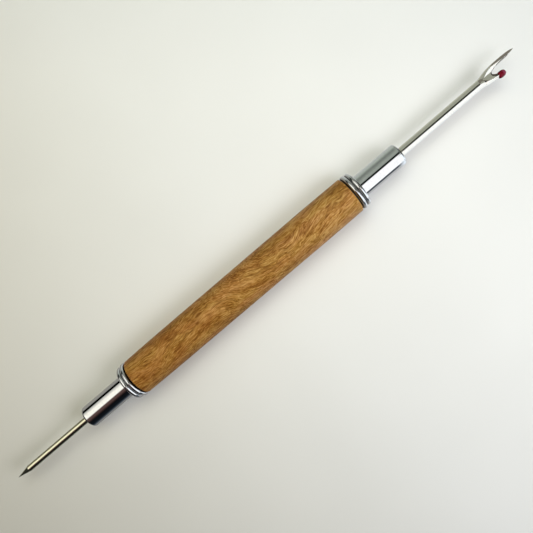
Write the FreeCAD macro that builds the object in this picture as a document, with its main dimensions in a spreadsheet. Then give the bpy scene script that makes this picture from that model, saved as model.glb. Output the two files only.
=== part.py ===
"""A double-ended seam ripper and stiletto, in millimetres.

A turned wooden barrel is bored through and lined with a brass tube. A chrome coupler is
pressed into each end of the tube. Each coupler takes the plug of a tool: the forked seam
ripper at +X, the pointed stiletto at -X. A rubber ring in each coupler grips the plug, which
pulls out, turns round and goes back in with its point inside the barrel.

The origin is on the tool's axis at the middle of the barrel. +X runs to the ripper's tip,
+Y to the side of its long prong, and +Z up. The fork lies flat in the XY plane.
"""
import FreeCAD, Part
import math
import os
import Sketcher

SIZES = {
    # The wooden barrel: straight in the middle, easing to slightly smaller ends.
    "barrel_length": 85.2,
    "barrel_radius": 6.0,
    "barrel_end_radius": 5.87,
    "barrel_straight_length": 52.0,
    "barrel_edge_radius": 0.35,
    # The brass tube in the barrel's bore.
    "tube_outer_radius": 4.75,
    "tube_inner_radius": 4.3,
    # The couplers: a neck in the tube, a thin sunken shoulder and a beaded flange.
    "neck_length": 9.0,
    "shoulder_width": 0.4,
    "shoulder_radius": 4.95,
    "flange_bead_width": 1.35,
    "flange_bead_middle": 5.325,
    "socket_radius": 3.57,
    "ring_groove_inset": 0.2,
    "ring_groove_width": 0.95,
    "ring_groove_radius": 4.48,
    # The rubber rings.
    "ring_middle_radius": 4.0,
    "ring_wire_radius": 0.44,
    # The plugs: a beaded collar between two sleeves, and a seat with a countersunk mouth.
    "collar_gap": 0.05,
    "collar_bead_width": 1.45,
    "collar_bead_middle": 5.025,
    "sleeve_radius": 3.54,
    "sleeve_length": 15.45,
    "sleeve_end_rounding": 0.8,
    "stiletto_sleeve_extra": 1.0,
    "seat_depth": 12.0,
    "seat_mouth_width": 0.2,
    "seat_mouth_depth": 0.3,
    # The stiletto's needle.
    "needle_radius": 1.04,
    "needle_reach": 29.73,
    "needle_point_length": 4.8,
    # The ripper's blade: a round shank that is forged flat and forked.
    "shank_radius": 1.42,
    "flat_start_reach": 29.8,
    "flat_full_reach": 32.9,
    "flat_full_height": 0.85,
    "flat_prong_reach": 36.2,
    "flat_prong_height": 0.62,
    "flat_tip_height": 0.12,
    "crotch_cone_reach": 35.5,
    "crotch_cone_offset": 0.21,
    "crotch_cone_small_radius": 0.34,
    "crotch_cone_large_radius": 0.95,
    # The red ball on the short prong.
    "ball_reach": 37.33,
    "ball_offset": -1.62,
    "ball_half_length": 1.28,
    "ball_radius": 0.98,
}

# The fork's corners, counter-clockwise: reach from the end of the sleeve, offset from the axis,
# and the bulge of the arc that leaves the corner, if it is an arc.
FORK_OUTLINE = {
    "root_low": (29.8, -1.1),
    "short_outer": (31.2, -1.42),
    "short_middle": (33.2, -1.83),
    "short_shoulder": (36.2, -2.07),
    "short_end_low": (38.0, -1.95),
    "short_end_high": (38.0, -1.25),
    "short_inner": (36.45, -0.82),
    "crotch_low": (35.25, 0.02, -0.75),
    "crotch_high": (35.28, 0.4, -0.14),
    "long_inner": (38.2, 1.2, 0.07),
    "tip": (44.45, 1.97, 0.11),
    "long_outer": (31.7, 1.72),
    "root_high": (29.8, 1.1),
}
for corner_name, corner_place in FORK_OUTLINE.items():
    SIZES[f"fork_{corner_name}_reach"] = corner_place[0]
    SIZES[f"fork_{corner_name}_offset"] = corner_place[1]

document = FreeCAD.newDocument("SeamRipper")
sheet = document.addObject("Spreadsheet::Sheet", "Sizes")
for row, (alias, value) in enumerate(SIZES.items(), start=1):
    sheet.set(f"A{row}", str(value))
    sheet.setAlias(f"A{row}", alias)
document.recompute()


class Size:
    """A length that carries both its value and the sheet formula that gives it."""

    def __init__(self, value, formula):
        self.value = value
        self.formula = formula

    def joined(self, sign, other, value):
        return Size(value, f"({self.formula} {sign} {as_size(other).formula})")

    def __add__(self, other):
        return self.joined("+", other, self.value + as_size(other).value)

    def __sub__(self, other):
        return self.joined("-", other, self.value - as_size(other).value)

    def __mul__(self, other):
        return self.joined("*", other, self.value * as_size(other).value)

    def __truediv__(self, other):
        return self.joined("/", other, self.value / as_size(other).value)


def as_size(item):
    """A Size from a Size or a plain number."""
    return item if isinstance(item, Size) else Size(float(item), str(float(item)))


def size(alias):
    """A Size from its name in the sheet."""
    return Size(float(sheet.get(alias)), f"Sizes.{alias}")


# Distances along the axis, from the middle of the barrel outwards.
barrel_end = size("barrel_length") / 2
flange_back = barrel_end + size("shoulder_width")
flange_front = flange_back + size("flange_bead_width")
collar_back = flange_front + size("collar_gap")
collar_front = collar_back + size("collar_bead_width")
sleeve_end = collar_front + size("sleeve_length")
plug_end = collar_back - size("sleeve_length")
stiletto_sleeve_end = sleeve_end + size("stiletto_sleeve_extra")
AXIS = as_size(0)

# The bulge of an arc is the tangent of a quarter of the angle that it turns through. It is
# positive where the arc runs counter-clockwise.
HALF_TURN = 1.0
QUARTER_TURN = math.tan(math.radians(90 / 4))


def origin_plane(body, role):
    """A body's own origin plane, such as XY_Plane."""
    return next(item for item in body.Origin.OriginFeatures if item.Role == role)


def pin_point(sketch, edge, end, x, y):
    """Hold a point of a sketch at two sizes from its origin."""
    for kind, length in (("DistanceX", x), ("DistanceY", y)):
        number = sketch.addConstraint(Sketcher.Constraint(kind, edge, end, length.value))
        sketch.setExpression(f"Constraints[{number}]", length.formula)


def add_line(sketch, start, finish):
    """Draw a straight edge and return its number and the ends it starts and finishes at."""
    points = [FreeCAD.Vector(x.value, y.value, 0) for x, y in (start, finish)]
    return sketch.addGeometry(Part.LineSegment(*points)), 1, 2


def add_arc(sketch, start, finish, bulge):
    """Draw an arc, with its centre held, and return what add_line does."""
    run, rise = finish[0] - start[0], finish[1] - start[1]
    shift = (1 - bulge ** 2) / (4 * bulge)
    centre_x = (start[0] + finish[0]) / 2 - rise * shift
    centre_y = (start[1] + finish[1]) / 2 + run * shift
    first, last = (start, finish) if bulge > 0 else (finish, start)
    angles = [math.atan2(y.value - centre_y.value, x.value - centre_x.value) for x, y in (first, last)]
    radius = math.hypot(start[0].value - centre_x.value, start[1].value - centre_y.value)
    circle = Part.Circle(FreeCAD.Vector(centre_x.value, centre_y.value, 0), FreeCAD.Vector(0, 0, 1), radius)
    edge = sketch.addGeometry(Part.ArcOfCircle(circle, *angles))
    # One coordinate of the centre is enough: the one that lies along the arc's own middle line.
    kind, length = ("DistanceY", centre_y) if abs(run.value) > abs(rise.value) else ("DistanceX", centre_x)
    number = sketch.addConstraint(Sketcher.Constraint(kind, edge, 3, length.value))
    sketch.setExpression(f"Constraints[{number}]", length.formula)
    return (edge, 1, 2) if bulge > 0 else (edge, 2, 1)


def add_loop(sketch, corners):
    """Draw a closed outline. A corner is (x, y), or (x, y, bulge) where an arc leaves it."""
    places = [(as_size(corner[0]), as_size(corner[1])) for corner in corners]
    edges = []
    for corner, start, finish in zip(corners, places, places[1:] + places[:1]):
        if len(corner) == 3:
            edges.append(add_arc(sketch, start, finish, corner[2]))
        else:
            edges.append(add_line(sketch, start, finish))
    for (edge, start, finish), (after, next_start, _), place in zip(edges, edges[1:] + edges[:1], places):
        sketch.addConstraint(Sketcher.Constraint("Coincident", edge, finish, after, next_start))
        pin_point(sketch, edge, start, *place)


def add_sketch(body, name, role, *loops):
    """A sketch of closed outlines on one of a body's origin planes."""
    sketch = body.newObject("Sketcher::SketchObject", name)
    sketch.AttachmentSupport = [(origin_plane(body, role), "")]
    sketch.MapMode = "FlatFace"
    for corners in loops:
        add_loop(sketch, corners)
    return sketch


def turned_body(label, corners, side=1):
    """A solid turned about the X axis, with its profile given for +X or mirrored to -X."""
    body = document.addObject("PartDesign::Body", label)
    mirrored = [(corner[0] * side, *corner[1:2], *(bulge * side for bulge in corner[2:])) for corner in corners]
    sketch = add_sketch(body, f"{label}_profile", "XY_Plane", mirrored)
    turning = body.newObject("PartDesign::Revolution", f"{label}_turning")
    turning.Profile = sketch
    turning.ReferenceAxis = (sketch, ["H_Axis"])
    turning.Angle = 360
    return body


def wood_barrel():
    """The wooden handle: a bored cylinder that eases to smaller, softened ends."""
    half_straight = size("barrel_straight_length") / 2
    edge = size("barrel_edge_radius")
    edge_start = barrel_end - edge
    end_radius = size("barrel_end_radius")
    crown = (size("barrel_radius").value - end_radius.value) / (edge_start.value - half_straight.value) / 2
    return turned_body("wood_barrel", [
        (barrel_end * -1, size("tube_outer_radius")),
        (barrel_end, size("tube_outer_radius")),
        (barrel_end, end_radius - edge, QUARTER_TURN),
        (edge_start, end_radius, crown),
        (half_straight, size("barrel_radius")),
        (half_straight * -1, size("barrel_radius"), crown),
        (edge_start * -1, end_radius, QUARTER_TURN),
        (barrel_end * -1, end_radius - edge),
    ])


def brass_tube():
    """The tube that lines the barrel."""
    return turned_body("brass_tube", [
        (barrel_end * -1, size("tube_inner_radius")),
        (barrel_end, size("tube_inner_radius")),
        (barrel_end, size("tube_outer_radius")),
        (barrel_end * -1, size("tube_outer_radius")),
    ])


def coupler(label, side):
    """An end fitting: a neck inside the tube, a shoulder and a beaded flange with a ring groove."""
    neck_back = barrel_end - size("neck_length")
    groove_back = flange_back + size("ring_groove_inset")
    groove_front = groove_back + size("ring_groove_width")
    bore = size("socket_radius")
    shoulder = size("shoulder_radius")
    bead = size("flange_bead_middle")
    return turned_body(label, [
        (neck_back, bore),
        (groove_back, bore),
        (groove_back, size("ring_groove_radius")),
        (groove_front, size("ring_groove_radius")),
        (groove_front, bore),
        (flange_front, bore),
        (flange_front, bead, HALF_TURN),
        (flange_back, bead),
        (flange_back, shoulder),
        (barrel_end, shoulder),
        (barrel_end, size("tube_inner_radius")),
        (neck_back, size("tube_inner_radius")),
    ], side)


def o_ring(label, side):
    """The rubber ring in a coupler's groove."""
    ring = document.addObject("Part::Torus", label)
    ring.setExpression("Radius1", size("ring_middle_radius").formula)
    ring.setExpression("Radius2", size("ring_wire_radius").formula)
    middle = (flange_back + size("ring_groove_inset") + size("ring_groove_width") / 2) * side
    turn = FreeCAD.Rotation(FreeCAD.Vector(0, 1, 0), 90)
    ring.Placement = FreeCAD.Placement(FreeCAD.Vector(middle.value, 0, 0), turn)
    ring.setExpression("Placement.Base.x", middle.formula)
    return ring


def holder(label, side, end, tool_radius):
    """A plug: two sleeves with a beaded collar between them, and a seat for its tool."""
    sleeve = size("sleeve_radius")
    rounding = size("sleeve_end_rounding")
    bead = size("collar_bead_middle")
    seat_bottom = end - size("seat_depth")
    return turned_body(label, [
        (plug_end, AXIS),
        (seat_bottom, AXIS),
        (seat_bottom, tool_radius),
        (end - size("seat_mouth_depth"), tool_radius),
        (end, tool_radius + size("seat_mouth_width")),
        (end, sleeve - rounding, QUARTER_TURN),
        (end - rounding, sleeve),
        (collar_front, sleeve),
        (collar_front, bead, HALF_TURN),
        (collar_back, bead),
        (collar_back, sleeve),
        (plug_end + rounding, sleeve, QUARTER_TURN),
        (plug_end, sleeve - rounding),
    ], side)


def stiletto_needle():
    """A straight round needle with a long cone for its point."""
    tip = stiletto_sleeve_end + size("needle_reach")
    seat_bottom = stiletto_sleeve_end - size("seat_depth")
    return turned_body("stiletto_needle", [
        (seat_bottom, AXIS),
        (tip, AXIS),
        (tip - size("needle_point_length"), size("needle_radius")),
        (seat_bottom, size("needle_radius")),
    ], -1)


def fork_corner(name):
    """A named corner of the fork, from the sheet, with the bulge of the arc that leaves it."""
    bulge = FORK_OUTLINE[name][2:]
    return (sleeve_end + size(f"fork_{name}_reach"), size(f"fork_{name}_offset"), *bulge)


def flat_loop(side):
    """The outline, seen from the side, of what is ground off the top or bottom of the fork."""
    beyond = sleeve_end + size("fork_tip_reach") * 1.1
    clear = size("shank_radius") * 2
    ramp = [
        (sleeve_end + size("flat_start_reach"), size("shank_radius")),
        (sleeve_end + size("flat_full_reach"), size("flat_full_height")),
        (sleeve_end + size("flat_prong_reach"), size("flat_prong_height")),
        (beyond, size("flat_tip_height")),
        (beyond, clear),
        (sleeve_end + size("flat_start_reach"), clear),
    ]
    return [(x, height * side) for x, height in ramp]


def ripper_blade():
    """A round shank that is ground flat and forked, with a cutting edge in the fork."""
    seat_bottom = sleeve_end - size("seat_depth")
    body = turned_body("blade_blank", [
        (seat_bottom, AXIS),
        (sleeve_end + size("flat_full_reach"), AXIS),
        (sleeve_end + size("flat_full_reach"), size("shank_radius")),
        (seat_bottom, size("shank_radius")),
    ])
    outline = [fork_corner(name) for name in FORK_OUTLINE]
    fork = body.newObject("PartDesign::Pad", "fork")
    fork.Profile = add_sketch(body, "fork_outline", "XY_Plane", outline)
    fork.setExpression("Length", (size("flat_full_height") * 2).formula)
    fork.Midplane = True
    document.recompute()
    whole_volume = fork.Shape.Volume
    flats = body.newObject("PartDesign::Pocket", "flats")
    flats.Profile = add_sketch(body, "flats_outline", "XZ_Plane", flat_loop(1), flat_loop(-1))
    flats.setExpression("Length", (size("shank_radius") * 6).formula)
    flats.Midplane = True
    document.recompute()
    if flats.Shape.Volume > 0.99 * whole_volume:
        raise ValueError("the flats of the fork are not cut")
    return ground_crotch(body)


def ground_crotch(blank):
    """Grind the cutting edge into the bottom of the fork: a cone from each face meets half-way."""
    sharpened = blank
    for face, turn in (("top", 0), ("bottom", 180)):
        cone = document.addObject("Part::Cone", f"{face}_grinding_cone")
        cone.Placement.Rotation = FreeCAD.Rotation(FreeCAD.Vector(1, 0, 0), turn)
        cone.setExpression("Placement.Base.x", (sleeve_end + size("crotch_cone_reach")).formula)
        cone.setExpression("Placement.Base.y", size("crotch_cone_offset").formula)
        cone.setExpression("Radius1", size("crotch_cone_small_radius").formula)
        cone.setExpression("Radius2", size("crotch_cone_large_radius").formula)
        cone.setExpression("Height", size("flat_full_height").formula)
        cut = document.addObject("Part::Cut", f"{face}_of_crotch_ground")
        cut.Base = sharpened
        cut.Tool = cone
        sharpened = cut
    sharpened.Label = "ripper_blade"
    return sharpened


def safety_ball(blade):
    """The red ball that is moulded round the end of the short prong."""
    blank = document.addObject("Part::Ellipsoid", "ball_blank")
    blank.setExpression("Radius1", size("ball_radius").formula)
    blank.setExpression("Radius2", size("ball_half_length").formula)
    blank.setExpression("Radius3", size("ball_radius").formula)
    blank.setExpression("Placement.Base.x", (sleeve_end + size("ball_reach")).formula)
    blank.setExpression("Placement.Base.y", size("ball_offset").formula)
    ball = document.addObject("Part::Cut", "safety_ball")
    ball.Base = blank
    ball.Tool = blade
    return ball


def build():
    """Every piece of the tool, in order from the barrel outwards."""
    blade = ripper_blade()
    return [
        wood_barrel(),
        brass_tube(),
        coupler("ripper_coupler", 1),
        o_ring("ripper_o_ring", 1),
        holder("ripper_holder", 1, sleeve_end, size("shank_radius")),
        blade,
        safety_ball(blade),
        coupler("stiletto_coupler", -1),
        o_ring("stiletto_o_ring", -1),
        holder("stiletto_holder", -1, stiletto_sleeve_end, size("needle_radius")),
        stiletto_needle(),
    ]


def check(pieces):
    """Stop if any object failed or any piece has no sound shape."""
    for item in document.Objects:
        if "Invalid" in item.State or "Error" in item.State:
            raise ValueError(f"{item.Label} failed: {item.State}")
    for piece in pieces:
        if piece.Shape.isNull() or not piece.Shape.isValid() or len(piece.Shape.Solids) != 1:
            raise ValueError(f"{piece.Label} has no sound solid")


pieces = build()
document.recompute()
check(pieces)
os.makedirs("parts", exist_ok=True)
for piece in pieces:
    piece.Shape.exportStep(f"parts/{piece.Label}.step")
    print(f"{piece.Label}: {piece.Shape.Volume:.1f} cubic millimetres")
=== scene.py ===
"""The looks of a double-ended seam ripper and stiletto, lying on a pale table."""
import math

import bmesh
import bpy
from mathutils import Matrix, Vector
from mathutils.kdtree import KDTree


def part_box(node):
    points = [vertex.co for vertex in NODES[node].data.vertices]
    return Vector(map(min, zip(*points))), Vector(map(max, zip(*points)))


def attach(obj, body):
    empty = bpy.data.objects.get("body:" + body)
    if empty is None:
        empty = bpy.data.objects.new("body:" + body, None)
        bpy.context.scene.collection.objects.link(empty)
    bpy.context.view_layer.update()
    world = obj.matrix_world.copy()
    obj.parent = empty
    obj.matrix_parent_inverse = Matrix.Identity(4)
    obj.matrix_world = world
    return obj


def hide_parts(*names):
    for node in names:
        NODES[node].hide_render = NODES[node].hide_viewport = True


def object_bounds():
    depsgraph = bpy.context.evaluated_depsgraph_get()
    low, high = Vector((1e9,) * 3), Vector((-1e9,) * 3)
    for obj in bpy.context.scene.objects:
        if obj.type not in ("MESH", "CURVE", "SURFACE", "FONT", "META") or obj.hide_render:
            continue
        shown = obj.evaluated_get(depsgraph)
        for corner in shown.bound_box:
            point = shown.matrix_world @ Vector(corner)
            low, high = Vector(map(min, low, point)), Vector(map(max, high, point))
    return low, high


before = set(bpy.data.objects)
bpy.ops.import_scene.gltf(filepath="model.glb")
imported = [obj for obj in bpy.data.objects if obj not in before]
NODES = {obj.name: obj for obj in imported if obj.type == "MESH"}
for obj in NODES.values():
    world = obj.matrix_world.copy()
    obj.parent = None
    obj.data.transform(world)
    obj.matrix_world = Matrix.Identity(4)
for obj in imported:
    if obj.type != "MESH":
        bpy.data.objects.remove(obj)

MM = 0.001
CAD_LOW, CAD_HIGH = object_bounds()


# ---------------------------------------------------------------- node helpers

class Shader:
    """A material's node tree, with short ways to add and join nodes."""

    def __init__(self, tree):
        self.tree = tree
        self.tree.nodes.clear()

    def add(self, kind, inputs=None, **settings):
        """Add a node, set its properties, and set or join its inputs."""
        node = self.tree.nodes.new(kind)
        for key, value in settings.items():
            setattr(node, key, value)
        for key, value in (inputs or {}).items():
            if isinstance(value, bpy.types.NodeSocket):
                self.tree.links.new(value, node.inputs[key])
            else:
                node.inputs[key].default_value = value
        return node

    def math(self, operation, first, second=0.0):
        """The output of a math node."""
        return self.add("ShaderNodeMath", {0: first, 1: second}, operation=operation).outputs[0]

    def spread(self, value, low, high, out_low=0.0, out_high=1.0):
        """A value carried from one range to another, and kept inside it."""
        inputs = {"Value": value, "From Min": low, "From Max": high, "To Min": out_low, "To Max": out_high}
        return self.add("ShaderNodeMapRange", inputs).outputs["Result"]

    def noise(self, vector, scale, detail=2.0, roughness=0.5, distortion=0.0):
        """A noise texture's value."""
        inputs = {"Vector": vector, "Scale": scale, "Detail": detail,
                  "Roughness": roughness, "Distortion": distortion}
        return self.add("ShaderNodeTexNoise", inputs).outputs["Fac"]

    def band(self, value, low, high, soft):
        """One between low and high, falling to nothing over a soft edge on each side."""
        rise = self.spread(value, low - soft, low)
        fall = self.spread(value, high + soft, high)
        return self.math("MINIMUM", rise, fall)

    def ramp(self, value, stops):
        """A colour ramp through (place, colour) stops."""
        node = self.add("ShaderNodeValToRGB", {"Fac": value})
        elements = node.color_ramp.elements
        while len(elements) < len(stops):
            elements.new(1.0)
        for element, (place, colour) in zip(elements, stops):
            element.position = place
            element.color = (*colour, 1.0)
        return node.outputs["Color"]

    def mix(self, amount, first, second, blend="MIX"):
        """Two colours mixed."""
        node = self.add("ShaderNodeMix", data_type="RGBA", blend_type=blend)
        for socket, value in ((node.inputs[0], amount), (node.inputs[6], first), (node.inputs[7], second)):
            if isinstance(value, bpy.types.NodeSocket):
                self.tree.links.new(value, socket)
            else:
                socket.default_value = (*value, 1.0) if isinstance(value, tuple) else value
        return node.outputs[2]

    def bump(self, height, depth, strength=1.0, normal=None):
        """A bump of a given depth in metres."""
        inputs = {"Height": height, "Distance": depth, "Strength": strength}
        if normal is not None:
            inputs["Normal"] = normal
        return self.add("ShaderNodeBump", inputs).outputs["Normal"]

    def position(self):
        """Where a point is on the piece, in millimetres, as x, y, z and as a vector."""
        place = self.add("ShaderNodeTexCoord").outputs["Object"]
        scaled = self.add("ShaderNodeVectorMath", {0: place, "Scale": 1 / MM}, operation="SCALE").outputs[0]
        split = self.add("ShaderNodeSeparateXYZ", {0: scaled}).outputs
        return split[0], split[1], split[2], scaled

    def vector(self, x, y, z):
        """A vector from three values."""
        return self.add("ShaderNodeCombineXYZ", {0: x, 1: y, 2: z}).outputs[0]

    def surface(self, inputs):
        """A Principled surface, joined to the output."""
        principled = self.add("ShaderNodeBsdfPrincipled", inputs)
        self.add("ShaderNodeOutputMaterial", {"Surface": principled.outputs[0]})


def new_material(name):
    """An empty node material and its Shader."""
    material = bpy.data.materials.new(name)
    material.use_nodes = True
    return material, Shader(material.node_tree)


def dress(node, material):
    """Give a CAD node's object one material."""
    mesh_object = NODES[node]
    for material_slot in mesh_object.material_slots:
        material_slot.link = "OBJECT"
        material_slot.material = material


# ---------------------------------------------------------------- materials

# The wood's strands in millimetres, along and across the barrel: a long swing, a steady lean, a quick plunge.
SWING_LENGTH, SWING_SHIFT, SWING_WIDTH = 54.0, 24.0, 2.3
LEAN = -0.05
PLUNGE_LENGTH, PLUNGE_SHIFT, PLUNGE_WIDTH = 6.5, 5.0, -1.7
# How far the strands wander and waver on top of that.
WANDER, WAVER, WAVER_UP = 4.0, 1.5, 1.2


def wood_material():
    """Figured golden-brown hardwood: fine wavy strands, broad bands, dark streaks and pale flecks."""
    material, shader = new_material("figured_hardwood")
    x, y, z, _ = shader.position()
    # The strands swing from side to side along the barrel, and waver a little as they go.
    wander = shader.noise(shader.vector(shader.math("MULTIPLY", x, 0.6), y, z), 0.11, 1.0)
    waver = shader.noise(shader.vector(shader.math("MULTIPLY", x, 0.8), y, z), 0.26, 1.0)
    turn = shader.math("MULTIPLY", shader.math("ADD", x, SWING_SHIFT), 2 * math.pi / SWING_LENGTH)
    plunge = shader.math("TANH", shader.math("DIVIDE", shader.math("ADD", x, PLUNGE_SHIFT), PLUNGE_LENGTH))
    drift = shader.math("ADD", shader.math("MULTIPLY", x, LEAN), shader.math("MULTIPLY", plunge, PLUNGE_WIDTH))
    swing = shader.math("ADD", shader.math("MULTIPLY", shader.math("SINE", turn), SWING_WIDTH), drift)
    unrest = shader.math("ADD", shader.math("MULTIPLY", wander, WANDER), shader.math("MULTIPLY", waver, WAVER))
    across = shader.math("SUBTRACT", y, shader.math("ADD", swing, unrest))
    up = shader.math("ADD", z, shader.math("MULTIPLY", waver, WAVER_UP))

    def strands(stretch, scale, detail, roughness=0.5, start=0.0):
        """Noise drawn out along the strands."""
        place_along = shader.math("ADD", shader.math("MULTIPLY", x, stretch), start)
        return shader.noise(shader.vector(place_along, across, up), scale, detail, roughness)

    def lines(noise, width):
        """Thin lines where a noise passes its middle value."""
        return shader.spread(shader.math("ABSOLUTE", shader.math("SUBTRACT", noise, 0.5)), width, 0.15 * width)

    fibres = strands(0.16, 3.4, 2.0, 0.6)
    bundles = strands(0.09, 1.5, 2.0)
    figure = strands(0.5, 0.30, 2.0)
    broad = shader.math("ADD", shader.math("MULTIPLY", bundles, 0.24), shader.math("MULTIPLY", figure, 0.20))
    tone = shader.math("ADD", shader.math("MULTIPLY", fibres, 0.56), broad)
    colour = shader.ramp(tone, [
        (0.40, (0.175, 0.066, 0.007)),
        (0.47, (0.290, 0.130, 0.021)),
        (0.53, (0.390, 0.198, 0.040)),
        (0.62, (0.560, 0.330, 0.095)),
    ])
    patches = shader.spread(strands(0.25, 0.45, 1.0, 0.5, 30.0), 0.42, 0.56)
    pale = shader.math("MULTIPLY", lines(strands(0.05, 1.7, 1.0, 0.5, 11.0), 0.085), patches)
    colour = shader.mix(shader.math("MULTIPLY", pale, 0.42), colour, (0.570, 0.335, 0.105))
    between = shader.spread(patches, 1.0, 0.0)
    dark = shader.math("MULTIPLY", lines(strands(0.05, 1.9, 1.0, 0.5, 57.0), 0.06), between)
    streaks = shader.math("MAXIMUM", shader.spread(strands(0.07, 2.4, 1.0), 0.36, 0.30), dark)
    colour = shader.mix(shader.math("MULTIPLY", streaks, 0.45), colour, (0.150, 0.052, 0.006))
    # Some patches are redder and some more olive.
    hue = shader.spread(strands(0.4, 0.3, 1.0, 0.5, 80.0), 0.36, 0.64)
    colour = shader.mix(1.0, colour, shader.mix(hue, (1.00, 1.035, 0.90), (1.04, 0.98, 0.98)), "MULTIPLY")
    # Painted shade and light along the barrel: darker and browner towards the stiletto's end, cooler towards the
    # ripper's end.
    painted_shade_along_barrel = shader.mix(shader.spread(x, -43.0, 43.0), (0.90, 0.82, 0.84), (0.94, 0.95, 1.16))
    colour = shader.mix(1.0, colour, painted_shade_along_barrel, "MULTIPLY")
    # A painted pool of light: the -Y side is paler towards the ripper's end.
    painted_side_light = shader.math("MULTIPLY", shader.spread(y, 0.0, -5.0), shader.spread(x, -5.0, 25.0))
    colour = shader.mix(1.0, colour, shader.mix(painted_side_light, (1.0, 1.0, 1.0), (1.16, 1.22, 1.40)), "MULTIPLY")
    roughness = shader.spread(fibres, 0.35, 0.65, 0.55, 0.40)
    relief = shader.math("SUBTRACT", fibres, shader.math("MULTIPLY", streaks, 0.8))
    normal = shader.bump(relief, 0.03 * MM, 0.5)
    shader.surface({"Base Color": colour, "Roughness": roughness, "Normal": normal, "Specular IOR Level": 0.22})
    return material


# Where painted shade darkens the chrome, which is duller there too: from and to along the axis, in millimetres
# from the barrel's middle.
SHOULDER = (42.0, 43.06)
BEAD_GROOVE = (44.15, 44.6)
SLEEVE_GROOVE = (45.72, 45.95)
# The radii between which each groove's painted shade comes in.
BEAD_GROOVE_RADII = (5.65, 5.4)
SLEEVE_GROOVE_RADII = (4.6, 4.3)


def chrome_material():
    """Polished chrome with the faintest haze and hairline marks, dull and darkened with painted shade in its
    grooves.
    """
    material, shader = new_material("polished_chrome")
    x, y, z, place = shader.position()
    haze = shader.noise(place, 1.4, 3.0, 0.6)
    hairlines = shader.noise(shader.vector(shader.math("MULTIPLY", x, 9.0), y, z), 1.2, 2.0, 0.6)
    # The shoulder against the wood and the grooves beside the beads are dull, and darkened with painted shade.
    reach = shader.math("ABSOLUTE", x)
    radius = shader.math("SQRT", shader.math("ADD", shader.math("MULTIPLY", y, y), shader.math("MULTIPLY", z, z)))
    shoulder = shader.band(reach, *SHOULDER, 0.06)
    bead_groove = shader.math("MULTIPLY", shader.band(reach, *BEAD_GROOVE, 0.08),
                              shader.spread(radius, *BEAD_GROOVE_RADII))
    sleeve_groove = shader.math("MULTIPLY", shader.band(reach, *SLEEVE_GROOVE, 0.05),
                                shader.spread(radius, *SLEEVE_GROOVE_RADII))
    dull_painted_shade = shader.math("MAXIMUM", shoulder, shader.math("MAXIMUM", bead_groove, sleeve_groove))
    colour = shader.ramp(haze, [(0.3, (0.82, 0.83, 0.84)), (0.7, (0.90, 0.90, 0.90))])
    colour = shader.mix(shader.math("MULTIPLY", dull_painted_shade, 0.97), colour, (0.022, 0.018, 0.014))
    roughness = shader.math("ADD", shader.spread(haze, 0.35, 0.7, 0.03, 0.075),
                            shader.math("MULTIPLY", dull_painted_shade, 0.3))
    normal = shader.bump(hairlines, 0.002 * MM, 0.2)
    shader.surface({"Base Color": colour, "Metallic": 1.0, "Roughness": roughness, "Normal": normal})
    return material


def steel_material(name, light, dark, gloss):
    """Ground and polished steel, with fine marks along its length."""
    material, shader = new_material(name)
    x, y, z, place = shader.position()
    marks = shader.noise(shader.vector(shader.math("MULTIPLY", x, 0.25), y, z), 7.0, 2.0, 0.6)
    cloud = shader.noise(place, 0.9, 2.0, 0.5)
    tone = shader.math("ADD", shader.math("MULTIPLY", marks, 0.6), shader.math("MULTIPLY", cloud, 0.4))
    colour = shader.ramp(tone, [(0.35, dark), (0.65, light)])
    roughness = shader.spread(marks, 0.3, 0.7, *gloss)
    normal = shader.bump(marks, 0.003 * MM, 0.35)
    shader.surface({"Base Color": colour, "Metallic": 1.0, "Roughness": roughness, "Normal": normal})
    return material


def brass_material():
    """Drawn brass tube, dulled a little."""
    material, shader = new_material("drawn_brass")
    x, y, z, place = shader.position()
    marks = shader.noise(shader.vector(shader.math("MULTIPLY", x, 0.1), y, z), 4.0, 3.0, 0.6)
    stain = shader.noise(place, 0.25, 3.0, 0.6)
    tone = shader.math("ADD", shader.math("MULTIPLY", marks, 0.4), shader.math("MULTIPLY", stain, 0.6))
    colour = shader.ramp(tone, [(0.35, (0.55, 0.36, 0.13)), (0.65, (0.83, 0.64, 0.30))])
    roughness = shader.spread(stain, 0.3, 0.7, 0.22, 0.42)
    normal = shader.bump(marks, 0.01 * MM, 0.4)
    shader.surface({"Base Color": colour, "Metallic": 1.0, "Roughness": roughness, "Normal": normal})
    return material


def rubber_material():
    """Black nitrile rubber."""
    material, shader = new_material("black_rubber")
    place = shader.position()[3]
    grain = shader.noise(place, 6.0, 3.0, 0.6)
    colour = shader.ramp(grain, [(0.3, (0.008, 0.008, 0.009)), (0.7, (0.022, 0.022, 0.023))])
    roughness = shader.spread(grain, 0.3, 0.7, 0.45, 0.65)
    normal = shader.bump(grain, 0.01 * MM, 0.5)
    shader.surface({"Base Color": colour, "Roughness": roughness, "Normal": normal})
    return material


def ball_material():
    """Glossy ruby-red plastic, with painted shade round its middle and a painted glow towards its far end."""
    material, shader = new_material("ruby_plastic")
    x, _, z, place = shader.position()
    cloud = shader.noise(place, 0.9, 3.0, 0.6)
    colour = shader.ramp(cloud, [(0.3, (0.105, 0.0, 0.007)), (0.7, (0.165, 0.001, 0.012))])
    ball_middle = sum(corner[0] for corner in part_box("safety_ball")) / 2 / MM
    # A painted glow: the bead is paler and pinker towards its far end.
    painted_glow = shader.band(x, ball_middle + 0.15, ball_middle + 0.75, 0.35)
    colour = shader.mix(shader.math("MULTIPLY", painted_glow, 0.8), colour, (0.25, 0.045, 0.085))
    # Painted shade: the bead is darker round its middle, near z = 0.
    depth = shader.spread(shader.math("ABSOLUTE", z), 0.0, 0.6)
    colour = shader.mix(depth, (0.035, 0.004, 0.012), colour)
    roughness = shader.spread(cloud, 0.3, 0.7, 0.16, 0.26)
    shader.surface({"Base Color": colour, "Roughness": roughness, "Specular IOR Level": 0.2,
                    "Subsurface Weight": 0.1, "Subsurface Scale": 0.3 * MM})
    return material


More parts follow.
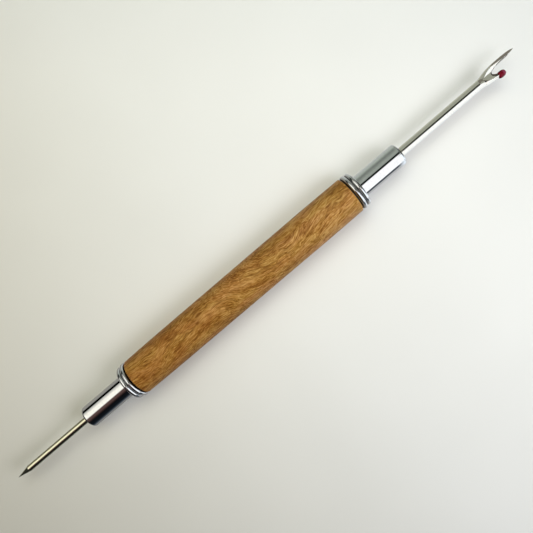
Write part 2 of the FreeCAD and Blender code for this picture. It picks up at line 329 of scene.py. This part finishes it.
def table_material():
    """A pale, matt table top."""
    material, shader = new_material("pale_table")
    x, _, _, place = shader.position()
    cloud = shader.noise(place, 0.02, 2.0, 0.5)
    colour = shader.ramp(cloud, [(0.3, (0.79, 0.80, 0.808)), (0.7, (0.82, 0.83, 0.839))])
    # Painted shade: the table is a little darker and warmer beyond the stiletto's end.
    painted_warm_shade = shader.spread(x, 10.0, -110.0)
    colour = shader.mix(1.0, colour, shader.mix(painted_warm_shade, (1.0, 1.0, 1.0), (0.945, 0.92, 0.865)), "MULTIPLY")
    shader.surface({"Base Color": colour, "Roughness": 0.6})
    return material


# ---------------------------------------------------------------- the blade

# All in millimetres: (reach along the axis from the end of the ripper's sleeve, value) points.
APEX = (35.08, 0.2)                 # the bottom of the fork
TIP = (44.45, 1.97)                 # the long prong's point
SHORT_END = 38.0                    # the short prong's end, inside the ball
UPPER_EDGE = [(0.0, 1.40), (28.0, 1.53), (30.0, 1.57), (31.0, 1.66), (32.0, 1.87), (33.0, 2.11),
              (34.1, 2.29), (35.1, 2.42), (36.2, 2.50), (38.5, 2.54), (41.4, 2.47), (42.5, 2.38),
              (43.5, 2.22), TIP]
LOWER_EDGE = [(0.0, -1.40), (28.0, -1.27), (30.0, -1.28), (31.0, -1.38), (32.0, -1.60), (33.0, -1.78),
              (34.1, -1.89), (35.1, -1.98), (36.2, -2.07), (37.3, -2.04), (SHORT_END, -1.95)]
LONG_INNER = [APEX, (35.14, 0.37), (35.35, 0.53), (35.75, 0.76), (36.8, 1.03), (38.2, 1.22), (39.3, 1.27),
              (40.4, 1.28), (41.4, 1.33), (42.5, 1.46), (43.5, 1.67), TIP]
SHORT_INNER = [APEX, (35.14, 0.04), (35.35, -0.13), (35.65, -0.36), (36.2, -0.66), (36.6, -0.85),
               (37.3, -1.15), (SHORT_END, -1.35)]
# How full the rounding of each outer edge is, and how soon it closes over: one and one make the round shank.
UPPER_ROUND = [(30.2, 1.0), (31.5, 0.75), (32.5, 0.63), (33.5, 0.60), (36.0, 0.50), (40.0, 0.33),
               (42.0, 0.26), (TIP[0], 0.18)]
LOWER_ROUND = [(30.2, 1.0), (31.4, 0.87), (33.0, 0.76), (34.0, 0.69), (35.1, 0.58), (36.2, 0.45), (37.0, 0.34),
               (SHORT_END, 0.28)]
CLOSING = [(30.0, 1.0), (31.0, 0.96), (32.0, 0.84), (33.0, 0.66), (34.0, 0.42), (34.8, 0.20), (35.5, 0.0)]
# The flats ground on the fork, which lean towards the long prong.
FLAT_HEIGHT = [(30.6, 1.49), (32.4, 1.16), (33.6, 0.95), (APEX[0], 0.71), (36.2, 0.66), (38.5, 0.60),
               (TIP[0], 0.52)]
SHORT_FLAT_HEIGHT = [(30.6, 1.49), (32.4, 1.16), (33.6, 0.95), (APEX[0], 0.71), (36.2, 0.46), (37.0, 0.33),
                     (SHORT_END, 0.28)]
FLAT_SLOPE = [(31.0, 0.25), (35.0, 0.23), (36.2, 0.20), (SHORT_END, 0.18)]
VALLEY = 0.70                       # where the flat meets the long prong's facet
FACET_SLOPE = 0.19
# The ground edge round the fork's opening: a bevel, and a narrow cutting edge below it.
BEVEL_EDGE = [(APEX[0], 0.34), (36.2, 0.27), (37.0, 0.20)]
LONG_BEVEL_SLOPE = [(APEX[0], 0.72), (36.0, 0.80), (36.8, 1.28)]
SHORT_BEVEL_SLOPE = [(APEX[0], 0.72), (SHORT_END, 0.72)]
CUTTING_EDGE, CUTTING_SLOPE = 0.04, 2.8
GRIND_START, GRIND_FULL = 29.0, 31.0    # where the round shank begins to be ground
CROTCH_END = 36.0                   # where the finely divided bottom of the fork ends
ACROSS = 28                         # faces across each half of the blade
WELD = 0.0003 * MM                  # points nearer than this are one
SHARP = math.radians(24)            # edges sharper than this stay crisp

# How far the moulded bead goes past the CAD ball at its back, its front and its sides, in millimetres.
BEAD_BACK, BEAD_FRONT, BEAD_SIDES = 0.36, -0.14, 0.04
# How blunt each end of the bead is: two would be an ellipsoid, and more is squarer.
BLUNT_BACK, BLUNT_FRONT = 3.2, 2.35


def along(points, reach):
    """The value at a reach, on a smooth curve through (reach, value) points."""
    if reach <= points[0][0]:
        return points[0][1]
    if reach >= points[-1][0]:
        return points[-1][1]
    last = next(number for number, point in enumerate(points) if point[0] > reach)
    (x0, y0), (x1, y1) = points[last - 1], points[last]
    before, after = points[max(last - 2, 0)], points[min(last + 1, len(points) - 1)]
    run = x1 - x0
    share = (reach - x0) / run
    slope0 = (y1 - before[1]) / (x1 - before[0]) * run
    slope1 = (after[1] - y0) / (after[0] - x0) * run
    square, cube = share ** 2, share ** 3
    return ((2 * cube - 3 * square + 1) * y0 + (cube - 2 * square + share) * slope0
            + (3 * square - 2 * cube) * y1 + (cube - square) * slope1)


def steps(start, finish, size):
    """Even steps from start up to, but not including, finish."""
    count = max(1, round((finish - start) / size))
    return [start + (finish - start) * step / count for step in range(count)]


def opening_tree():
    """The edge of the fork's opening, for finding how far a place is from it."""
    turned = APEX[0] + 0.2
    edge = [(reach, along(points, reach)) for points, finish in ((SHORT_INNER, SHORT_END), (LONG_INNER, TIP[0]))
            for reach in steps(APEX[0], turned, 0.001) + steps(turned, finish, 0.01) + [finish]]
    tree = KDTree(len(edge))
    for number, (reach, offset) in enumerate(edge):
        tree.insert((reach, offset, 0.0), number)
    tree.balance()
    return tree


def blade_height(reach, offset, tree, prong):
    """Half the blade's thickness at a place in its plane, on the shank or on one prong."""
    top, bottom = along(UPPER_EDGE, reach), along(LOWER_EDGE, reach)
    width = top - bottom
    closing = along(CLOSING, reach) / width

    def rounding(fullness, depth):
        depth = max(depth, 0.0)
        return along(fullness, reach) * math.sqrt(width * depth * max(1 - closing * depth, 0.0))

    heights = []
    if prong != "short":
        heights.append(rounding(UPPER_ROUND, top - offset))
    if prong != "long":
        heights.append(rounding(LOWER_ROUND, offset - bottom))
    level = along(SHORT_FLAT_HEIGHT if prong == "short" else FLAT_HEIGHT, reach)
    slope = along(FLAT_SLOPE, reach)
    flat = level - slope * offset
    facet = level - slope * VALLEY + FACET_SLOPE * (offset - VALLEY)
    heights.append(max(flat, facet))
    if reach > APEX[0] - 2:
        inside = tree.find((reach, offset, 0.0))[2]
        bevel_slope = along(LONG_BEVEL_SLOPE if offset > APEX[1] else SHORT_BEVEL_SLOPE, reach)
        heights.append(along(BEVEL_EDGE, reach) + bevel_slope * inside)
        heights.append(CUTTING_EDGE + CUTTING_SLOPE * inside)
    return min(heights)


def make_blade(material):
    """The forked blade: a round shank ground to flats, alike above and below, splitting into two prongs."""
    sleeve_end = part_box("ripper_holder")[1][0] / MM
    seat_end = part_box("ripper_blade")[0][0] / MM - sleeve_end
    tree = opening_tree()
    shank = steps(seat_end, GRIND_START, 4.0) + steps(GRIND_START, GRIND_FULL, 0.3)
    shank += steps(GRIND_FULL, APEX[0], 0.12) + [APEX[0]]
    crotch = [APEX[0]] + steps(APEX[0] + 0.02, CROTCH_END, 0.06)
    short_prong = crotch + steps(CROTCH_END, SHORT_END, 0.15) + [SHORT_END]
    long_prong = crotch + steps(CROTCH_END, TIP[0], 0.15) + [TIP[0]]
    strips = [
        ("shank", shank, lambda reach: (along(LOWER_EDGE, reach), APEX[1])),
        ("shank", shank, lambda reach: (APEX[1], along(UPPER_EDGE, reach))),
        ("short", short_prong, lambda reach: (along(LOWER_EDGE, reach), along(SHORT_INNER, reach))),
        ("long", long_prong, lambda reach: (along(LONG_INNER, reach), along(UPPER_EDGE, reach))),
    ]
    build = bmesh.new()
    for prong, reaches, edges in strips:
        rows = []
        for reach in reaches:
            low, high = edges(reach)
            shares = [(1 - math.cos(math.pi * step / ACROSS)) / 2 for step in range(ACROSS + 1)]
            offsets = [low + (high - low) * share for share in shares]
            heights = [blade_height(reach, offset, tree, prong) for offset in offsets]
            rows.append([[build.verts.new(((sleeve_end + reach) * MM, offset * MM, side * height * MM))
                          for offset, height in zip(offsets, heights)] for side in (1, -1)])
        for near, far in zip(rows, rows[1:]):
            for top, other in zip(near, far):
                for step in range(ACROSS):
                    build.faces.new((top[step], top[step + 1], other[step + 1], other[step]))
            if prong != "shank":
                inner = ACROSS if prong == "short" else 0
                build.faces.new((near[0][inner], near[1][inner], far[1][inner], far[0][inner]))
        ends = [rows[0]] if prong == "shank" else []
        ends += [rows[-1]] if prong == "short" else []
        for upper, lower in ends:
            for step in range(ACROSS):
                build.faces.new((upper[step], upper[step + 1], lower[step + 1], lower[step]))
    bmesh.ops.remove_doubles(build, verts=build.verts, dist=WELD)
    bmesh.ops.dissolve_degenerate(build, edges=build.edges, dist=WELD)
    bmesh.ops.recalc_face_normals(build, faces=build.faces)
    for face in build.faces:
        face.smooth = True
    mesh = bpy.data.meshes.new("forked_blade")
    build.to_mesh(mesh)
    build.free()
    mesh.set_sharp_from_angle(angle=SHARP)
    mesh.materials.append(material)
    blade = bpy.data.objects.new("forked_blade", mesh)
    bpy.context.scene.collection.objects.link(blade)
    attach(blade, "ripper_tool")
    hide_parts("ripper_blade")


def make_bead(material):
    """The ball that guards the short prong: blunt-ended plastic, moulded on."""
    low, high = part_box("safety_ball")
    low = [low[0] - BEAD_BACK * MM, low[1] - BEAD_SIDES * MM, low[2] - BEAD_SIDES * MM]
    high = [high[0] + BEAD_FRONT * MM, high[1] + BEAD_SIDES * MM, high[2] + BEAD_SIDES * MM]
    middle = [(a + b) / 2 for a, b in zip(low, high)]
    half = [(b - a) / 2 for a, b in zip(low, high)]
    rings, sides = 32, 56
    build = bmesh.new()
    poles = [build.verts.new((middle[0] + end * half[0], middle[1], middle[2])) for end in (-1, 1)]
    rows = []
    for ring in range(1, rings):
        place = -math.cos(math.pi * ring / rings)
        blunt = BLUNT_BACK if place < 0 else BLUNT_FRONT
        radius = (1 - abs(place) ** blunt) ** (1 / blunt)
        rows.append([build.verts.new((middle[0] + place * half[0],
                                      middle[1] + radius * half[1] * math.cos(2 * math.pi * side / sides),
                                      middle[2] + radius * half[2] * math.sin(2 * math.pi * side / sides)))
                     for side in range(sides)])
    for side in range(sides):
        after = (side + 1) % sides
        build.faces.new((poles[0], rows[0][after], rows[0][side]))
        build.faces.new((poles[1], rows[-1][side], rows[-1][after]))
        for near, far in zip(rows, rows[1:]):
            build.faces.new((near[side], near[after], far[after], far[side]))
    bmesh.ops.recalc_face_normals(build, faces=build.faces)
    for face in build.faces:
        face.smooth = True
    mesh = bpy.data.meshes.new("ruby_bead")
    build.to_mesh(mesh)
    build.free()
    mesh.materials.append(material)
    bead = bpy.data.objects.new("ruby_bead", mesh)
    bpy.context.scene.collection.objects.link(bead)
    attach(bead, "ripper_tool")
    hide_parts("safety_ball")


# ---------------------------------------------------------------- the stage

VIEW_TURN = math.radians(40.4)      # the tool's axis against the picture's width
VIEW_TILT = math.radians(3.18)      # the camera leans this far along the axis
VIEW_DISTANCE = 160.8 * MM
VIEW_CENTRE = Vector((9.636 * MM, 0, 0))
LENS, SENSOR = 36.07, 36.0          # millimetres
NEAREST = 0.01                      # the camera sees nothing closer than this, in metres

# The lamps: each one's name, place in metres, power in watts and colour.
LAMPS = [
    ("right_lamp", (0.139, -0.130, 0.20), 0.475, (0.99, 0.99, 1.0)),
    ("top_lamp", (0.058, 0.069, 0.20), 0.285, (1.0, 0.95, 0.78)),
    ("left_lamp", (-0.070, 0.165, 0.20), 0.105, (1.0, 0.90, 0.52)),
    ("far_lamp", (0.150, 0.130, 0.20), 0.070, (0.15, 0.60, 1.0)),
]
LAMP_SIZE = 0.16
TABLE_REACH = 3.0                   # from the middle of the table to each edge, in metres


def picture_axes():
    """The picture's right, up and back directions in the row frame."""
    turn, tilt = VIEW_TURN, VIEW_TILT
    right = Vector((math.cos(turn) * math.cos(tilt), -math.sin(turn), -math.cos(turn) * math.sin(tilt)))
    up = Vector((math.sin(turn) * math.cos(tilt), math.cos(turn), -math.sin(turn) * math.sin(tilt)))
    return right, up, Vector((math.sin(tilt), 0, math.cos(tilt)))


def make_camera():
    """The camera, looking almost straight down."""
    right, up, back = picture_axes()
    camera = bpy.data.objects.new("camera", bpy.data.cameras.new("camera"))
    bpy.context.scene.collection.objects.link(camera)
    camera.matrix_world = Matrix.Translation(VIEW_CENTRE + back * VIEW_DISTANCE) @ \
        Matrix((right, up, back)).transposed().to_4x4()
    camera.data.lens = LENS
    camera.data.sensor_width = SENSOR
    camera.data.clip_start = NEAREST
    bpy.context.scene.camera = camera


def make_floor():
    """A pale table under the tool."""
    mesh = bpy.data.meshes.new("table")
    corners = [(x * TABLE_REACH, y * TABLE_REACH, CAD_LOW.z) for x, y in ((-1, -1), (1, -1), (1, 1), (-1, 1))]
    mesh.from_pydata(corners, [], [(0, 1, 2, 3)])
    mesh.materials.append(table_material())
    table = bpy.data.objects.new("table", mesh)
    bpy.context.scene.collection.objects.link(table)
    table.visible_glossy = False


def make_light(name, place, power, colour):
    """A soft square light, turned to the barrel's middle, that the metal doesn't show."""
    light = bpy.data.lights.new(name, "AREA")
    light.shape = "SQUARE"
    light.size = LAMP_SIZE
    light.energy = power
    light.color = colour
    lamp = bpy.data.objects.new(name, light)
    bpy.context.scene.collection.objects.link(lamp)
    lamp.location = place
    lamp.rotation_euler = (-Vector(place)).to_track_quat("-Z", "Y").to_euler()
    lamp.visible_glossy = False


def make_tunnel():
    """What the metal reflects: white cards, dark flags and the table, on a tunnel round the tool's axis."""
    radius, half_length, sides = 0.5, 1.3, 96
    arc = [math.radians(360 * side / sides) for side in range(sides)]
    corners = [(end, -radius * math.sin(angle), radius * math.cos(angle)) for angle in arc
               for end in (-half_length, half_length)]
    count = len(corners)
    faces = [(2 * side, 2 * side + 1, (2 * side + 3) % count, (2 * side + 2) % count) for side in range(sides)]
    mesh = bpy.data.meshes.new("reflection_tunnel")
    mesh.from_pydata(corners, [], faces)
    mesh.materials.append(tunnel_material())
    tunnel = bpy.data.objects.new("reflection_tunnel", mesh)
    bpy.context.scene.collection.objects.link(tunnel)
    tunnel.visible_camera = False
    tunnel.visible_diffuse = False
    tunnel.visible_shadow = False
    tunnel.visible_transmission = False


# The tints of the cards and flags round the tool.
PLAIN = (1.0, 1.0, 1.0)
GREENISH = (0.95, 1.05, 0.92)
BLUISH = (0.92, 1.0, 1.08)
WARM = (1.02, 1.0, 0.90)
BROWN = (1.5, 0.9, 0.8)
INK = (0.75, 1.0, 1.3)

# The cards round each end, by degrees from overhead, where -90 is the +Y side: how bright, and which tint.
RIPPER_CARDS = [
    (-180, 0.60, PLAIN), (-95, 0.43, GREENISH), (-78, 0.25, GREENISH), (-66, 0.20, GREENISH),
    (-34, 0.34, GREENISH), (-17, 0.34, GREENISH), (-13, 0.005, PLAIN), (2, 0.005, PLAIN), (6, 1.15, PLAIN),
    (86, 1.15, PLAIN), (91, 0.05, INK), (108, 0.07, INK), (118, 0.50, PLAIN), (180, 0.60, PLAIN),
]
STILETTO_CARDS = [
    (-180, 0.33, WARM), (-99, 0.28, WARM), (-93, 0.003, PLAIN), (-70, 0.003, PLAIN), (-65, 0.48, WARM),
    (-38, 1.02, WARM), (-12, 1.12, WARM), (-3, 1.0, WARM), (4, 0.09, BROWN), (24, 0.06, BROWN),
    (36, 0.02, BROWN), (48, 0.004, INK), (86, 0.01, INK), (101, 0.055, INK), (118, 0.20, PLAIN),
    (180, 0.33, WARM),
]
# Smaller cards in front, which the blade and the beads show:
# from and to in degrees, from and to along the tunnel in mm, how bright, and which tint.
SMALL_CARDS = [
    (-80, -20, 198, 3000, 0.345, GREENISH),
    (-20, 19, 198, 322, 0.035, WARM),
    (-20, 19, 382, 3000, 0.345, GREENISH),
    (21, 84, 198, 3000, 1.16, BLUISH),
    (84, 150, 192, 346, 1.06, BLUISH),
    (84, 150, 450, 3000, 1.06, BLUISH),
    (-110, -15, 340, 540, 0.175, WARM),
    (-86, -56, 50, 122, 0.048, INK),
    (-46, -13, 50, 122, 0.98, PLAIN),
]
# The dark ends of the room: where they begin and are full, in mm, how bright, and which tint.
FAR_ENDS = [(620, 760, 0.053, WARM), (-520, -600, 0.02, PLAIN)]
BLEND = (-60.0, 30.0)               # where the stiletto's cards give way to the ripper's, in mm
TABLE_ANGLES = (112, 92)            # the ends are dark only above the table: gone, and full, in degrees
SOFT_ANGLE, SOFT_EDGE = 2, 8.0      # the small cards' soft edges, in degrees and in mm


def card_light(bright, tint):
    """A card's light."""
    return tuple(bright * share for share in tint)


def tunnel_material():
    """The cards' light: one set of cards for the ripper's end, one for the stiletto's, and dark far away."""
    material, shader = new_material("studio_cards")
    x, y, z, _ = shader.position()
    angle = shader.math("ARCTAN2", shader.math("MULTIPLY", y, -1.0), z)
    share = shader.spread(angle, -math.pi, math.pi)
    ends = []
    for cards in (STILETTO_CARDS, RIPPER_CARDS):
        stops = [((degrees + 180) / 360, card_light(bright, tint)) for degrees, bright, tint in cards]
        ends.append(shader.ramp(share, stops))
    colour = shader.mix(shader.spread(x, *BLEND), *ends)
    gone, full = (math.radians(degrees) for degrees in TABLE_ANGLES)
    above = shader.spread(shader.math("ABSOLUTE", angle), gone, full)
    for start, finish, near, far, bright, tint in SMALL_CARDS:
        card = shader.band(angle, math.radians(start), math.radians(finish), math.radians(SOFT_ANGLE))
        card = shader.math("MULTIPLY", card, shader.band(x, near, far, SOFT_EDGE))
        colour = shader.mix(card, colour, card_light(bright, tint))
    for near, full, bright, tint in FAR_ENDS:
        dark = shader.math("MULTIPLY", above, shader.spread(x, near, full))
        colour = shader.mix(dark, colour, card_light(bright, tint))
    glow = shader.add("ShaderNodeEmission", {"Color": colour, "Strength": 1.0})
    shader.add("ShaderNodeOutputMaterial", {"Surface": glow.outputs[0]})
    return material


def make_world():
    """An even pale sky."""
    world = bpy.data.worlds.new("studio")
    world.use_nodes = True
    bpy.context.scene.world = world
    shader = Shader(world.node_tree)
    sky = shader.add("ShaderNodeBackground", {"Color": (0.95, 0.95, 0.85, 1.0), "Strength": 0.04})
    shader.add("ShaderNodeOutputWorld", {"Surface": sky.outputs[0]})


# ---------------------------------------------------------------- the scene

make_camera()
make_floor()
make_world()
for lamp in LAMPS:
    make_light(*lamp)
make_tunnel()
bpy.context.scene.view_settings.view_transform = "Standard"

chrome = chrome_material()
rubber = rubber_material()
dress("wood_barrel", wood_material())
dress("brass_tube", brass_material())
for fitting in ("ripper_coupler", "ripper_holder", "stiletto_coupler", "stiletto_holder"):
    dress(fitting, chrome)
for ring in ("ripper_o_ring", "stiletto_o_ring"):
    dress(ring, rubber)
make_blade(steel_material("blade_steel", (0.98, 0.92, 0.83), (0.90, 0.84, 0.75), (0.05, 0.11)))
make_bead(ball_material())
dress("stiletto_needle", steel_material("needle_steel", (0.92, 0.89, 0.67), (0.82, 0.79, 0.58), (0.10, 0.20)))
